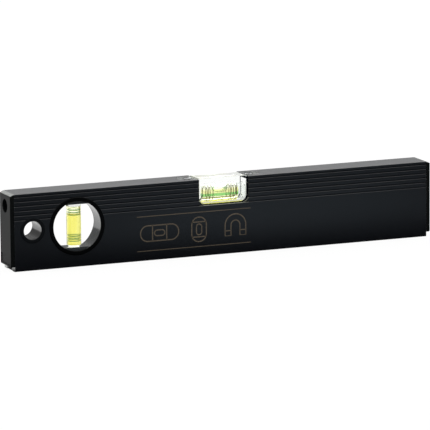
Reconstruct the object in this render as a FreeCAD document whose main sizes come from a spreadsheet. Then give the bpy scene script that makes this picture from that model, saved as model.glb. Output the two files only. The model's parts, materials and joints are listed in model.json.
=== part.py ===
import FreeCAD, Part
import math
import os
import types

import Sketcher

# A short magnetic spirit level of box section, lying on its magnetic base.
# X runs along the bar, Z is up, and the front face looks towards -Y.
# The origin is under the middle of the bar, on the surface that it stands on.

SIZES = [
    # the bar
    ("overall_length", 300, "length over both end caps"),
    ("height", 51, "base to top face"),
    ("thickness", 20, "front face to rear face"),
    ("side_wall", 2.0, "front and rear walls"),
    ("top_wall", 4.0, "top wall, thick enough to be tapped for the vial screws"),
    ("base_wall", 5.6, "base, from the lands to the floor of the cavity"),
    ("web_wall", 1.5, "web across the cavity, under the main vial"),
    ("corner_radius", 0.5, "long outer edges"),
    ("cavity_radius", 0.8, "inner corners of the cavities"),
    ("groove_count", 6, "fine grooves on each face"),
    ("groove_first", 2.0, "top face to the first groove"),
    ("groove_pitch", 3.05, "groove to groove"),
    ("groove_width", 0.9, "mouth of a groove"),
    ("groove_depth", 0.4, "depth of a groove"),
    # the end caps
    ("cap_flange", 2.8, "thickness of a cap outside the bar"),
    ("cap_rise", 3.0, "base to the lower edge of a cap"),
    ("cap_corner", 1.0, "upright edges of a cap"),
    ("cap_edge", 0.6, "rounding round the outer face of a cap"),
    ("cap_slope_run", 2.5, "slope along a cap's top edge, along the bar"),
    ("cap_slope_drop", 1.2, "slope along a cap's top edge, downwards"),
    ("cap_hole_radius", 4.55, "round hole in a cap"),
    ("cap_hole_drop", 8.6, "top face to the hole's centre"),
    ("cap_panel_margin", 1.3, "sides and lower edge of a cap to its sunk panel"),
    ("cap_panel_height", 6.4, "sunk panel low on a cap"),
    ("cap_panel_depth", 0.4, "sunk panel low on a cap"),
    ("plug_length", 4.2, "reach of a cap into the bar"),
    ("plug_wall", 1.3, "wall of a cap's plug"),
    ("plug_gap", 0.15, "a cap's plug to the cavity"),
    # the main vial
    ("notch_width", 35.0, "notch for the main vial"),
    ("notch_depth", 17.2, "top face to the notch's floor"),
    ("notch_radius", 5.0, "lower corners of the notch"),
    ("notch_edge", 0.3, "broken edge round the notch on each face"),
    ("block_width", 14.4, "vial block, front to rear"),
    ("block_side_gap", 0.5, "vial block to the sides of the notch"),
    ("block_foot_gap", 0.25, "vial block to the notch's floor"),
    ("lug_thickness", 2.2, "lugs of the vial block"),
    ("lug_side_gap", 0.25, "lug to its recess, all round"),
    ("lug_recess_gap", 0.1, "lug to the floor of its recess"),
    ("screw_spacing", 43.6, "vial screw to vial screw"),
    ("chamber_length", 25.6, "liquid chamber of the main vial"),
    ("chamber_offset", -0.9, "middle of the bar to the middle of the chamber"),
    ("chamber_radius", 5.9, "chamber at its middle"),
    ("chamber_sagitta", 0.2, "how much narrower the chamber is at its ends"),
    ("chamber_floor", 0.75, "wall below the chamber"),
    ("bubble_length", 10.8, "bubble of the main vial"),
    ("bubble_height", 5.6, "bubble of the main vial"),
    ("bubble_width", 9.4, "bubble of the main vial"),
    ("bubble_offset", -0.4, "middle of the bar to the middle of the bubble"),
    ("bubble_lap", 0.15, "how far the bubble's crown passes the chamber's wall"),
    ("ring_inner", 6.3, "middle to the innermost reading ring"),
    ("ring_pitch", 2.1, "reading ring to reading ring"),
    ("ring_width", 0.4, "a reading ring, along the vial"),
    ("ring_depth", 0.15, "a reading ring, into the wall"),
    ("ring_gap", 0.01, "a reading ring to the liquid"),
    # the vial screws
    ("screw_radius", 1.3, "shank of a vial screw"),
    ("screw_length", 5.0, "shank of a vial screw"),
    ("screw_head_radius", 2.7, "head of a vial screw"),
    ("screw_head_height", 1.3, "head of a vial screw"),
    ("screw_head_edge", 0.5, "rounding of a vial screw's head"),
    ("screw_head_gap", 0.35, "head to its counterbore, all round"),
    ("screw_head_sink", 0.1, "top of a head below the lug"),
    ("screw_hole_gap", 0.15, "shank to its hole in a lug"),
    ("recess_length", 3.0, "cross recess in a head, tip to tip"),
    ("recess_width", 0.7, "cross recess in a head"),
    ("recess_depth", 0.8, "cross recess in a head"),
    # the plumb window and its vial
    ("window_inset", 46.2, "left end to the middle of the window"),
    ("window_rise", 27.0, "base to the middle of the window"),
    ("window_radius", 16.5, "clear opening of the window"),
    ("window_liner", 1.4, "wall of the front frame round the opening"),
    ("window_flange", 2.8, "how far the front flange passes the opening"),
    ("window_depth", 11.5, "reach of the front frame into the bar"),
    ("window_mouth", 19.4, "opening of the rear frame at the rear face"),
    ("window_sleeve", 0.9, "wall of the rear frame round its mouth"),
    ("window_rear_flange", 2.2, "how far the rear flange passes the mouth"),
    ("window_floor", 1.2, "floor of the rear frame"),
    ("frame_proud", 0.5, "how far the flanges stand out of the bar"),
    ("frame_edge", 0.45, "rounding of the flanges"),
    ("frame_gap", 0.15, "frames and bushes to their bores, and front to rear"),
    ("seat_chord", 14.2, "middle of the window to a vial seat"),
    ("seat_sink", 1.0, "front face to a seat's face"),
    ("socket_depth", 1.1, "vial socket in a seat"),
    ("socket_gap", 0.1, "plumb vial to its socket"),
    ("tube_inset", 6.4, "front face to the plumb vial's axis"),
    ("tube_radius", 4.85, "outside of the plumb vial"),
    ("tube_chamber_radius", 3.9, "plumb chamber at its middle"),
    ("tube_sagitta", 0.15, "how much narrower the plumb chamber is at its ends"),
    ("tube_foot", 2.1, "plug below the plumb chamber"),
    ("tube_crown", 2.8, "closed end above the plumb chamber"),
    ("tube_bubble", 4.0, "height of the bubble in the plumb vial"),
    ("tube_film", 0.25, "liquid between that bubble and the wall"),
    ("tube_meniscus", 1.8, "rounding of that bubble's lower edge"),
    ("tube_ring_inner", 6.9, "window's middle to the innermost plumb ring"),
    ("tube_ring_pitch", 1.75, "plumb ring to plumb ring"),
    # the hang hole
    ("hang_inset", 15.3, "left end to the hang hole"),
    ("hang_rise", 26.5, "base to the hang hole"),
    ("hang_radius", 6.1, "clear opening of the hang hole"),
    ("hang_liner", 1.0, "wall of the front bush"),
    ("hang_flange", 2.4, "how far the front flange passes the hole"),
    ("hang_depth", 16.0, "reach of the front bush into the bar"),
    ("hang_mouth", 7.2, "opening of the rear bush at the rear face"),
    ("hang_sleeve", 0.7, "wall of the rear bush"),
    ("hang_rear_flange", 1.6, "how far the rear flange passes its mouth"),
    ("hang_floor", 1.0, "floor of the rear bush"),
    # the magnetic base
    ("channel_width", 9.5, "magnet channel in the base"),
    ("channel_depth", 4.0, "magnet channel in the base"),
    ("magnet_height", 3.4, "magnet strip"),
    ("pole_thickness", 1.4, "steel pole strip"),
    ("strip_gap", 0.1, "strips to the channel and to each other"),
    ("base_sink", 0.2, "strips above the lands"),
    ("overshoot", 1.0, "how far a cut passes the material that it opens"),
]


class Size:
    """A length known both as a number and as a formula over the sheet's cells."""

    def __init__(self, value, formula):
        self.value = value
        self.formula = formula

    @staticmethod
    def of(term):
        return term if isinstance(term, Size) else Size(float(term), repr(float(term)))

    def __add__(self, other):
        other = Size.of(other)
        return Size(self.value + other.value, f"({self.formula} + {other.formula})")

    def __sub__(self, other):
        other = Size.of(other)
        return Size(self.value - other.value, f"({self.formula} - {other.formula})")

    def __mul__(self, other):
        other = Size.of(other)
        return Size(self.value * other.value, f"({self.formula} * {other.formula})")

    def __truediv__(self, other):
        other = Size.of(other)
        return Size(self.value / other.value, f"({self.formula} / {other.formula})")

    def __neg__(self):
        return self * -1

    def __radd__(self, other):
        return Size.of(other) + self


doc = FreeCAD.newDocument("spirit_level")
sheet = doc.addObject("Spreadsheet::Sheet", "Sizes")
for row, (alias, number, meaning) in enumerate(SIZES, 1):
    sheet.set(f"A{row}", meaning)
    sheet.set(f"B{row}", str(number))
    sheet.setAlias(f"B{row}", alias)
doc.recompute()
dim = types.SimpleNamespace(**{
    alias: Size(float(number), f"Sizes.{alias}") for alias, number, meaning in SIZES
})
ZERO = Size.of(0)

# lengths and places that several pieces share
bar_length = dim.overall_length - dim.cap_flange * 2
half_thickness = dim.thickness / 2
cavity_half = half_thickness - dim.side_wall
notch_floor = dim.height - dim.notch_depth
web_under = notch_floor - dim.web_wall
cavity_top = dim.height - dim.top_wall
screw_x = dim.screw_spacing / 2
lug_radius = dim.block_width / 2
block_length = dim.notch_width - dim.block_side_gap * 2
block_foot = notch_floor + dim.block_foot_gap
chamber_z = block_foot + dim.chamber_floor + dim.chamber_radius
chamber_left = dim.chamber_offset - dim.chamber_length / 2
chamber_right = dim.chamber_offset + dim.chamber_length / 2
window_x = dim.window_inset - dim.overall_length / 2
hang_x = dim.hang_inset - dim.overall_length / 2
rear_window_depth = dim.thickness - dim.window_depth - dim.frame_gap
rear_hang_depth = dim.thickness - dim.hang_depth - dim.frame_gap
head_floor = dim.screw_head_height + dim.screw_head_sink
tube_half = dim.seat_chord + dim.socket_depth - dim.socket_gap


def bind(item, path, size):
    """Tie a property, or part of one, to its formula."""
    item.setExpression(path, size.formula)


def new_body(label):
    body = doc.addObject("PartDesign::Body", label)
    body.Label = label
    body.AllowCompound = True
    return body


def place(body, x=ZERO, y=ZERO, z=ZERO, turn=None):
    """Put a body at a place of its own; turn is an axis and an angle in degrees."""
    if turn:
        body.Placement.Rotation = FreeCAD.Rotation(FreeCAD.Vector(*turn[0]), turn[1])
    for letter, size in zip("xyz", (x, y, z)):
        bind(body, f"Placement.Base.{letter}", size)


def new_sketch(body, plane, name, right=ZERO, up=ZERO, out=ZERO):
    """A sketch on one of the body's own planes, its origin moved by three lengths."""
    sketch = body.newObject("Sketcher::SketchObject", name)
    support = next(item for item in body.Origin.OriginFeatures if item.Role == plane)
    sketch.AttachmentSupport = (support, [""])
    sketch.MapMode = "FlatFace"
    for letter, size in zip("xyz", (right, up, out)):
        if size is not ZERO:
            bind(sketch, f"AttachmentOffset.Base.{letter}", size)
    return sketch


def hold(sketch, kind, references, size):
    """Add a constraint that is tied to a formula."""
    index = sketch.addConstraint(Sketcher.Constraint(kind, *references, size.value))
    bind(sketch, f"Constraints[{index}]", size)


def pin(sketch, geometry, end, x, y):
    """Fix a point by its two distances from the sketch's origin."""
    hold(sketch, "DistanceX", (-1, 1, geometry, end), x)
    hold(sketch, "DistanceY", (-1, 1, geometry, end), y)


def towards(start, end):
    """Unit step from one corner to the next along a square side."""
    steps = [end[axis].value - start[axis].value for axis in (0, 1)]
    reach = math.hypot(*steps)
    return [round(step / reach) for step in steps]


def outline(sketch, corners):
    """Join the corners with lines. A corner with a third value is rounded by that radius,
    and both sides that meet there are square to each other."""
    joints = []
    for index, corner in enumerate(corners):
        x, y = corner[:2]
        if len(corner) == 2:
            point = FreeCAD.Vector(x.value, y.value, 0)
            joints.append((point, point, None))
            continue
        radius = corner[2]
        back = towards(corner, corners[index - 1])
        ahead = towards(corner, corners[(index + 1) % len(corners)])
        centre = [corner[axis] + radius * (back[axis] + ahead[axis]) for axis in (0, 1)]
        middle = FreeCAD.Vector(centre[0].value, centre[1].value, 0)
        entry = FreeCAD.Vector(x.value + back[0] * radius.value, y.value + back[1] * radius.value, 0)
        leave = FreeCAD.Vector(x.value + ahead[0] * radius.value, y.value + ahead[1] * radius.value, 0)
        first, last = [math.atan2(end.y - middle.y, end.x - middle.x) for end in (entry, leave)]
        # arcs run anticlockwise, so a clockwise corner swaps its ends
        clockwise = back[0] * ahead[1] - back[1] * ahead[0] > 0
        if clockwise:
            first, last = last, first
        circle = Part.Circle(middle, FreeCAD.Vector(0, 0, 1), radius.value)
        arc = sketch.addGeometry(Part.ArcOfCircle(circle, first, last), False)
        hold(sketch, "Radius", (arc,), radius)
        pin(sketch, arc, 3, *centre)
        entry_end, leave_end = (2, 1) if clockwise else (1, 2)
        for end, side in ((entry_end, back), (leave_end, ahead)):
            # an end lies beside the centre across from the side that it meets
            level = "Vertical" if side[0] else "Horizontal"
            sketch.addConstraint(Sketcher.Constraint(level, arc, end, arc, 3))
        joints.append((entry, leave, (arc, entry_end, leave_end)))
    lines = []
    for index in range(len(corners)):
        start = joints[index][1]
        end = joints[(index + 1) % len(corners)][0]
        lines.append(sketch.addGeometry(Part.LineSegment(start, end), False))
    for index, corner in enumerate(corners):
        arc = joints[index][2]
        if arc:
            sketch.addConstraint(Sketcher.Constraint("Coincident", lines[index - 1], 2, arc[0], arc[1]))
            sketch.addConstraint(Sketcher.Constraint("Coincident", lines[index], 1, arc[0], arc[2]))
        else:
            sketch.addConstraint(Sketcher.Constraint("Coincident", lines[index - 1], 2, lines[index], 1))
            pin(sketch, lines[index], 1, corner[0], corner[1])
    return lines


def rectangle(left, right, low, high, radius=None):
    """Corners of an upright rectangle, in turn."""
    corners = [(left, low), (right, low), (right, high), (left, high)]
    return [corner + (radius,) for corner in corners] if radius else corners


def circle(sketch, x, y, radius):
    shape = Part.Circle(FreeCAD.Vector(x.value, y.value, 0), FreeCAD.Vector(0, 0, 1), radius.value)
    geometry = sketch.addGeometry(shape, False)
    pin(sketch, geometry, 3, x, y)
    hold(sketch, "Radius", (geometry,), radius)


def slot(sketch, half_span, radius):
    """A slot along the sketch's first axis, with a round end at each side."""
    ends = []
    for side in (-1, 1):
        centre = half_span * side
        circle_of_end = Part.Circle(FreeCAD.Vector(centre.value, 0, 0), FreeCAD.Vector(0, 0, 1), radius.value)
        first = -math.pi / 2 * side
        arc = sketch.addGeometry(Part.ArcOfCircle(circle_of_end, first, first + math.pi), False)
        pin(sketch, arc, 3, centre, ZERO)
        hold(sketch, "Radius", (arc,), radius)
        for end in (1, 2):
            sketch.addConstraint(Sketcher.Constraint("Vertical", arc, end, arc, 3))
        ends.append(arc)
    left, right = ends
    for left_end, right_end, level in ((1, 2, radius.value), (2, 1, -radius.value)):
        start = FreeCAD.Vector(-half_span.value, level, 0)
        end = FreeCAD.Vector(half_span.value, level, 0)
        line = sketch.addGeometry(Part.LineSegment(start, end), False)
        sketch.addConstraint(Sketcher.Constraint("Coincident", line, 1, left, left_end))
        sketch.addConstraint(Sketcher.Constraint("Coincident", line, 2, right, right_end))


def extrude(body, kind, sketch, name, length=None, both_sides=False, turned=False):
    """Pad or Pocket a sketch; a pocket with no length goes through all."""
    feature = body.newObject(f"PartDesign::{kind}", name)
    feature.Profile = sketch
    if length is None:
        feature.Type = "ThroughAll"
    else:
        bind(feature, "Length", length)
    feature.SideType = "Symmetric" if both_sides else "One side"
    feature.Reversed = turned
    sketch.Visibility = False
    return feature


def spin(body, kind, sketch, name, axis):
    """Revolution or Groove of a sketch about one of its own axes."""
    feature = body.newObject(f"PartDesign::{kind}", name)
    feature.Profile = sketch
    feature.ReferenceAxis = (sketch, [axis])
    feature.Angle = 360
    sketch.Visibility = False
    return feature


def soften(body, kind, name, size, wanted):
    """Fillet or Chamfer the edges of the body's last feature that pass a test."""
    doc.recompute()
    base = body.Tip
    names = [f"Edge{number}" for number, edge in enumerate(base.Shape.Edges, 1) if wanted(edge)]
    feature = body.newObject(f"PartDesign::{kind}", name)
    feature.Base = (base, names)
    bind(feature, "Radius" if kind == "Fillet" else "Size", size)
    return feature


def face_outline():
    """Section of the bar: rounded corners, grooved faces and the magnet channel."""
    half_channel = dim.channel_width / 2
    corners = [
        (-half_thickness, ZERO, dim.corner_radius),
        (-half_channel, ZERO),
        (-half_channel, dim.channel_depth),
        (half_channel, dim.channel_depth),
        (half_channel, ZERO),
        (half_thickness, ZERO, dim.corner_radius),
    ]
    levels = [
        dim.height - dim.groove_first - dim.groove_pitch * number
        for number in range(int(dim.groove_count.value))
    ]
    half_mouth = dim.groove_width / 2
    bottom = half_thickness - dim.groove_depth
    for level in reversed(levels):
        corners += [
            (half_thickness, level - half_mouth),
            (bottom, level),
            (half_thickness, level + half_mouth),
        ]
    corners += [
        (half_thickness, dim.height, dim.corner_radius),
        (-half_thickness, dim.height, dim.corner_radius),
    ]
    for level in levels:
        corners += [
            (-half_thickness, level + half_mouth),
            (-bottom, level),
            (-half_thickness, level - half_mouth),
        ]
    return corners


def notch_outline(wider):
    """The notch for the main vial, wider all round by this length."""
    half = dim.notch_width / 2 + wider
    foot = notch_floor - wider
    above = dim.height + dim.overshoot
    radius = dim.notch_radius + wider
    return [(-half, foot, radius), (half, foot, radius), (half, above), (-half, above)]


def make_body_extrusion():
    body = new_body("body_extrusion")
    section = new_sketch(body, "YZ_Plane", "section")
    outline(section, face_outline())
    for low, high in ((dim.base_wall, web_under), (notch_floor, cavity_top)):
        outline(section, rectangle(-cavity_half, cavity_half, low, high, dim.cavity_radius))
    extrude(body, "Pad", section, "extrusion", bar_length, both_sides=True)

    notch = new_sketch(body, "XZ_Plane", "notch")
    outline(notch, notch_outline(ZERO))
    extrude(body, "Pocket", notch, "notch_cut", both_sides=True)
    throat_depth = half_thickness - dim.notch_edge
    for name, side in (("front", 1), ("rear", -1)):
        mouth = new_sketch(body, "XZ_Plane", name + "_notch_mouth", out=half_thickness * side)
        outline(mouth, notch_outline(dim.notch_edge))
        throat = new_sketch(body, "XZ_Plane", name + "_notch_throat", out=throat_depth * side)
        outline(throat, notch_outline(ZERO))
        edge = body.newObject("PartDesign::SubtractiveLoft", name + "_notch_edge")
        edge.Profile = mouth
        edge.Sections = [throat]
        edge.Ruled = True

    recess = new_sketch(body, "XY_Plane", "lug_recess", out=dim.height)
    slot(recess, screw_x, lug_radius + dim.lug_side_gap)
    extrude(body, "Pocket", recess, "lug_recess_cut", dim.lug_thickness + dim.lug_recess_gap)

    tapping = new_sketch(body, "XY_Plane", "screw_holes", out=dim.height)
    for side in (-1, 1):
        circle(tapping, screw_x * side, ZERO, dim.screw_radius)
    extrude(body, "Pocket", tapping, "screw_hole_cut", dim.top_wall + dim.overshoot)

    bores = new_sketch(body, "XZ_Plane", "front_bores")
    circle(bores, window_x, dim.window_rise, dim.window_radius + dim.window_liner + dim.frame_gap)
    circle(bores, hang_x, dim.hang_rise, dim.hang_radius + dim.hang_liner + dim.frame_gap)
    extrude(body, "Pocket", bores, "front_bore_cut", both_sides=True)

    rear_bores = (
        ("rear_window", window_x, dim.window_rise, dim.window_mouth + dim.window_sleeve, rear_window_depth),
        ("rear_hang", hang_x, dim.hang_rise, dim.hang_mouth + dim.hang_sleeve, rear_hang_depth),
    )
    for name, x, rise, radius, depth in rear_bores:
        bore = new_sketch(body, "XZ_Plane", name, out=-half_thickness)
        circle(bore, x, rise, radius + dim.frame_gap)
        extrude(body, "Pocket", bore, name + "_cut", depth + dim.frame_gap, turned=True)
    return body


def make_end_cap(label, side):
    """A cap in its own frame: x runs outwards from the bar's cut end."""
    body = new_body(label)
    plate = new_sketch(body, "YZ_Plane", "plate")
    outline(plate, rectangle(-half_thickness, half_thickness, dim.cap_rise, dim.height, dim.cap_corner))
    extrude(body, "Pad", plate, "plate_pad", dim.cap_flange)

    slope = new_sketch(body, "XZ_Plane", "slope")
    outer = dim.cap_flange + dim.overshoot
    run_out = dim.overshoot * dim.cap_slope_drop / dim.cap_slope_run
    outline(slope, [
        (dim.cap_flange - dim.cap_slope_run, dim.height),
        (outer, dim.height - dim.cap_slope_drop - run_out),
        (outer, dim.height + dim.overshoot),
        (dim.cap_flange - dim.cap_slope_run, dim.height + dim.overshoot),
    ])
    extrude(body, "Pocket", slope, "slope_cut", both_sides=True)

    def on_outer_rim(edge):
        return edge.BoundBox.XMin > dim.cap_flange.value / 2

    soften(body, "Fillet", "rim", dim.cap_edge, on_outer_rim)

    outer = cavity_half - dim.plug_gap
    inner = outer - dim.plug_wall
    plugs = new_sketch(body, "YZ_Plane", "plugs")
    for low, high in ((dim.base_wall, web_under), (notch_floor, cavity_top)):
        low = low + dim.plug_gap
        high = high - dim.plug_gap
        outline(plugs, rectangle(-outer, outer, low, high, dim.cavity_radius))
        outline(plugs, rectangle(-inner, inner, low + dim.plug_wall, high - dim.plug_wall))
    extrude(body, "Pad", plugs, "plug_pad", dim.plug_length, turned=True)

    hole = new_sketch(body, "YZ_Plane", "hole")
    circle(hole, ZERO, dim.height - dim.cap_hole_drop, dim.cap_hole_radius)
    extrude(body, "Pocket", hole, "hole_cut", dim.cap_flange, turned=True)

    panel = new_sketch(body, "YZ_Plane", "panel", out=dim.cap_flange)
    half_panel = half_thickness - dim.cap_panel_margin
    low = dim.cap_rise + dim.cap_panel_margin
    outline(panel, rectangle(-half_panel, half_panel, low, low + dim.cap_panel_height, dim.cap_panel_depth))
    extrude(body, "Pocket", panel, "panel_cut", dim.cap_panel_depth)
    place(body, x=bar_length / 2 * side, turn=((0, 0, 1), 0 if side > 0 else 180))
    return body


def barrel(sketch, left, right, middle_radius, sagitta, span):
    """Half section of a vial chamber, from left to right along its axis. The wall is an arc
    that is fullest at the sketch's origin and falls by the sagitta half a span away."""
    bend = barrel_bend(sagitta, span)
    ends = [(end, middle_radius - drop_at(end, bend)) for end in (left, right)]
    low, high = [FreeCAD.Vector(x.value, y.value, 0) for x, y in ends]
    foot_left = FreeCAD.Vector(left.value, 0, 0)
    foot_right = FreeCAD.Vector(right.value, 0, 0)
    crown = FreeCAD.Vector(0, middle_radius.value, 0)
    arc = sketch.addGeometry(Part.Arc(high, crown, low), False)
    for start, end in ((low, foot_left), (foot_left, foot_right), (foot_right, high)):
        sketch.addGeometry(Part.LineSegment(start, end), False)
    joins = ((arc, 2, arc + 1, 1), (arc + 1, 2, arc + 2, 1), (arc + 2, 2, arc + 3, 1), (arc + 3, 2, arc, 1))
    for join in joins:
        sketch.addConstraint(Sketcher.Constraint("Coincident", *join))
    pin(sketch, arc + 2, 1, left, ZERO)
    pin(sketch, arc + 3, 1, right, ZERO)
    sketch.addConstraint(Sketcher.Constraint("Vertical", arc + 1))
    sketch.addConstraint(Sketcher.Constraint("Vertical", arc + 3))
    sketch.addConstraint(Sketcher.Constraint("PointOnObject", arc, 3, -2))
    hold(sketch, "Radius", (arc,), bend)
    hold(sketch, "DistanceY", (-1, 1, arc, 3), middle_radius - bend)


def barrel_bend(sagitta, span):
    """Radius of the arc with this sagitta over this span."""
    return span * span / (sagitta * 8) + sagitta / 2


def drop_at(x, bend):
    """How far the arc has fallen at x, taken as x squared over twice the bend."""
    return x * x / (bend * 2)


def ring_places(inner, pitch):
    return [(inner + pitch * number) * side for side in (-1, 1) for number in range(3)]


def ring_section(sketch, places, middle_radius, bend, start):
    """Small rectangles where the reading rings lie in the chamber's wall. Each starts this
    far out from the wall and ends at the rings' depth in it."""
    half = dim.ring_width / 2
    for along in places:
        wall = middle_radius - drop_at(along, bend)
        outline(sketch, rectangle(along - half, along + half, wall + start, wall + dim.ring_depth))


MAIN_BEND = barrel_bend(dim.chamber_sagitta, dim.chamber_length)
MAIN_RINGS = ring_places(dim.ring_inner, dim.ring_pitch)


def make_main_vial_block():
    body = new_body("main_vial_block")
    block = new_sketch(body, "XZ_Plane", "block")
    half_block = block_length / 2
    corner = dim.notch_radius - dim.block_side_gap
    outline(block, [
        (-half_block, block_foot, corner),
        (half_block, block_foot, corner),
        (half_block, dim.height),
        (-half_block, dim.height),
    ])
    extrude(body, "Pad", block, "block_pad", dim.block_width, both_sides=True)

    lugs = new_sketch(body, "XY_Plane", "lugs", out=dim.height)
    slot(lugs, screw_x, lug_radius)
    extrude(body, "Pad", lugs, "lug_pad", dim.lug_thickness, turned=True)

    chamber = new_sketch(body, "XZ_Plane", "chamber", up=chamber_z)
    barrel(chamber, chamber_left, chamber_right, dim.chamber_radius, dim.chamber_sagitta, dim.chamber_length)
    spin(body, "Groove", chamber, "chamber_cut", "H_Axis")

    mouth = new_sketch(body, "XZ_Plane", "plug_bore", up=chamber_z)
    plug_radius = dim.chamber_radius - dim.chamber_sagitta
    outline(mouth, rectangle(chamber_right, half_block + dim.overshoot, ZERO, plug_radius))
    spin(body, "Groove", mouth, "plug_bore_cut", "H_Axis")

    rings = new_sketch(body, "XZ_Plane", "ring_seats", up=chamber_z)
    ring_section(rings, MAIN_RINGS, dim.chamber_radius, MAIN_BEND, -dim.ring_depth)
    spin(body, "Groove", rings, "ring_seat_cut", "H_Axis")

    heads = new_sketch(body, "XY_Plane", "counterbores", out=dim.height)
    shanks = new_sketch(body, "XY_Plane", "screw_holes", out=dim.height)
    for side in (-1, 1):
        circle(heads, screw_x * side, ZERO, dim.screw_head_radius + dim.screw_head_gap)
        circle(shanks, screw_x * side, ZERO, dim.screw_radius + dim.screw_hole_gap)
    extrude(body, "Pocket", heads, "counterbore_cut", head_floor)
    extrude(body, "Pocket", shanks, "screw_hole_cut", dim.lug_thickness + dim.overshoot)
    return body


def make_main_vial_liquid():
    body = new_body("main_vial_liquid")
    fill = new_sketch(body, "XZ_Plane", "fill")
    barrel(fill, chamber_left, chamber_right, dim.chamber_radius, dim.chamber_sagitta, dim.chamber_length)
    spin(body, "Revolution", fill, "liquid", "H_Axis")
    bubble = body.newObject("PartDesign::SubtractiveEllipsoid", "bubble")
    support = next(item for item in body.Origin.OriginFeatures if item.Role == "XY_Plane")
    bubble.AttachmentSupport = (support, [""])
    bubble.MapMode = "FlatFace"
    bind(bubble, "Radius1", dim.bubble_height / 2)
    bind(bubble, "Radius2", dim.bubble_length / 2)
    bind(bubble, "Radius3", dim.bubble_width / 2)
    bind(bubble, "AttachmentOffset.Base.x", dim.bubble_offset)
    bind(bubble, "AttachmentOffset.Base.z", dim.chamber_radius + dim.bubble_lap - dim.bubble_height / 2)
    place(body, z=chamber_z)
    return body


def make_rings(label, places, middle_radius, bend):
    body = new_body(label)
    section = new_sketch(body, "XZ_Plane", "ring_section")
    ring_section(section, places, middle_radius, bend, dim.ring_gap)
    spin(body, "Revolution", section, "rings", "H_Axis")
    return body


def make_plug(label, left, right, radius):
    """A round plug that closes the open end of a vial's chamber."""
    body = new_body(label)
    section = new_sketch(body, "XZ_Plane", "plug_section")
    outline(section, rectangle(left, right, ZERO, radius))
    spin(body, "Revolution", section, "plug", "H_Axis")
    return body


def make_vial_screw(label, side):
    """A screw in its own frame: the underside of its head is at z = 0."""
    body = new_body(label)
    section = new_sketch(body, "XZ_Plane", "screw_section")
    outline(section, [
        (ZERO, -dim.screw_length),
        (dim.screw_radius, -dim.screw_length),
        (dim.screw_radius, ZERO),
        (dim.screw_head_radius, ZERO),
        (dim.screw_head_radius, dim.screw_head_height, dim.screw_head_edge),
        (ZERO, dim.screw_head_height),
    ])
    spin(body, "Revolution", section, "screw", "V_Axis")
    cross = new_sketch(body, "XY_Plane", "cross_recess", out=dim.screw_head_height)
    tip = dim.recess_length / 2
    arm = dim.recess_width / 2
    outline(cross, [
        (tip, -arm), (tip, arm), (arm, arm), (arm, tip), (-arm, tip), (-arm, arm),
        (-tip, arm), (-tip, -arm), (-arm, -arm), (-arm, -tip), (arm, -tip), (arm, -arm),
    ])
    extrude(body, "Pocket", cross, "cross_recess_cut", dim.recess_depth)
    place(body, x=screw_x * side, z=dim.height - head_floor)
    return body


def make_front_ring(label, x, rise, radius, liner, flange, depth):
    """A flanged liner pushed in from the front; z = 0 is the bar's face, z runs outwards."""
    body = new_body(label)
    section = new_sketch(body, "XZ_Plane", "liner_section")
    outline(section, [
        (radius, -depth),
        (radius + liner, -depth),
        (radius + liner, ZERO),
        (radius + flange, ZERO),
        (radius + flange, dim.frame_proud, dim.frame_edge),
        (radius, dim.frame_proud, dim.frame_edge),
    ])
    spin(body, "Revolution", section, "liner", "V_Axis")
    place(body, x, -half_thickness, rise, turn=((1, 0, 0), 90))
    return body


def make_rear_ring(label, x, rise, radius, depth, mouth, sleeve, flange, floor):
    """A wider sleeve pushed in from the rear. Its floor backs the front liner's end."""
    body = new_body(label)
    section = new_sketch(body, "XZ_Plane", "sleeve_section")
    outline(section, [
        (radius, -depth),
        (mouth + sleeve, -depth),
        (mouth + sleeve, ZERO),
        (mouth + flange, ZERO),
        (mouth + flange, dim.frame_proud, dim.frame_edge),
        (mouth, dim.frame_proud, dim.frame_edge),
        (mouth, floor - depth),
        (radius, floor - depth),
    ])
    spin(body, "Revolution", section, "sleeve", "V_Axis")
    place(body, x, half_thickness, rise, turn=((1, 0, 0), -90))
    return body


def add_vial_seats(body):
    """Two blocks across the window that hold the plumb vial's ends."""
    seats = new_sketch(body, "XY_Plane", "seats", out=-dim.seat_sink)
    radius = dim.window_radius + dim.window_liner / 2
    for side in (-1, 1):
        chord = dim.seat_chord * side
        reach = math.sqrt(radius.value ** 2 - chord.value ** 2)
        first = math.atan2(chord.value, reach * side)
        last = math.atan2(chord.value, -reach * side)
        full = Part.Circle(FreeCAD.Vector(0, 0, 0), FreeCAD.Vector(0, 0, 1), radius.value)
        arc = seats.addGeometry(Part.ArcOfCircle(full, first, last), False)
        start = FreeCAD.Vector(-reach * side, chord.value, 0)
        end = FreeCAD.Vector(reach * side, chord.value, 0)
        line = seats.addGeometry(Part.LineSegment(start, end), False)
        seats.addConstraint(Sketcher.Constraint("Coincident", arc, 3, -1, 1))
        hold(seats, "Radius", (arc,), radius)
        seats.addConstraint(Sketcher.Constraint("Coincident", arc, 2, line, 1))
        seats.addConstraint(Sketcher.Constraint("Coincident", line, 2, arc, 1))
        seats.addConstraint(Sketcher.Constraint("Horizontal", line))
        hold(seats, "DistanceY", (-1, 1, line, 1), chord)
    extrude(body, "Pad", seats, "seat_pad", dim.window_depth - dim.seat_sink, turned=True)
    sockets = new_sketch(body, "XZ_Plane", "sockets")
    circle(sockets, ZERO, -dim.tube_inset, dim.tube_radius + dim.socket_gap)
    reach = (dim.seat_chord + dim.socket_depth) * 2
    extrude(body, "Pocket", sockets, "socket_cut", reach, both_sides=True)


# the plumb vial in its own frame: x runs up the vial from the middle of the window
tube_low = dim.tube_foot - tube_half
tube_high = tube_half - dim.tube_crown
tube_span = tube_half * 2
TUBE_BEND = barrel_bend(dim.tube_sagitta, tube_span)
TUBE_RINGS = ring_places(dim.tube_ring_inner, dim.tube_ring_pitch)
tube_plug_radius = dim.tube_chamber_radius - dim.tube_sagitta


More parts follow.
